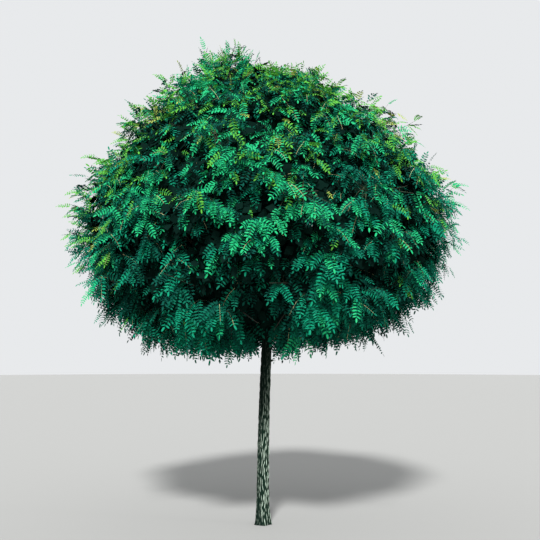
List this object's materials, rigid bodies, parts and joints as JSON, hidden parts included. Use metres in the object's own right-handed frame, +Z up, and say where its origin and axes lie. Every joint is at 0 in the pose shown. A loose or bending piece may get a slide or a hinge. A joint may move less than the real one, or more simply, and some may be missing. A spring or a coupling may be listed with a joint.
{
  "type": "globe black locust tree",
  "caption": "Round-headed black locust tree: dense globe of feathery leaf sprays on boughs that leave a graft head at the top of a slim clear stem, for planting scenes.",
  "frame": {"origin": "middle of the flat cut through the trunk at ground level", "axes": "+Z straight up the trunk, -Y towards the side that the picture shows, +X to that view's right"},
  "size_m": [3.7776, 3.7294, 4.5627],
  "materials": {
    "stem_bark": "grey furrowed bark, dull",
    "limb_bark": "smooth grey-brown young bark, dull",
    "foliage": "soft green leaflets, faint sheen"
  },
  "bodies": {
    "root": {"foliage_middle_1": "foliage", "foliage_middle_2": "foliage", "foliage_middle_3": "foliage", "foliage_middle_4": "foliage", "foliage_middle_5": "foliage", "foliage_middle_6": "foliage", "foliage_middle_7": "foliage", "foliage_middle_8": "foliage", "foliage_skirt_1": "foliage", "foliage_skirt_2": "foliage", "foliage_skirt_3": "foliage", "foliage_skirt_4": "foliage", "foliage_skirt_5": "foliage", "foliage_skirt_6": "foliage", "foliage_skirt_7": "foliage", "foliage_skirt_8": "foliage", "foliage_top": "foliage", "foliage_upper_1": "foliage", "foliage_upper_2": "foliage", "foliage_upper_3": "foliage", "foliage_upper_4": "foliage", "foliage_upper_5": "foliage", "leader": "limb_bark", "skirt_limb_1": "limb_bark", "skirt_limb_2": "limb_bark", "skirt_limb_3": "limb_bark", "skirt_limb_4": "limb_bark", "skirt_limb_5": "limb_bark", "skirt_limb_6": "limb_bark", "skirt_limb_7": "limb_bark", "skirt_limb_8": "limb_bark", "spreading_bough_1": "limb_bark", "spreading_bough_2": "limb_bark", "spreading_bough_3": "limb_bark", "spreading_bough_4": "limb_bark", "spreading_bough_5": "limb_bark", "spreading_bough_6": "limb_bark", "spreading_bough_7": "limb_bark", "spreading_bough_8": "limb_bark", "trunk": "stem_bark", "upper_bough_1": "limb_bark", "upper_bough_2": "limb_bark", "upper_bough_3": "limb_bark", "upper_bough_4": "limb_bark", "upper_bough_5": "limb_bark"}
  },
  "joints": []
}
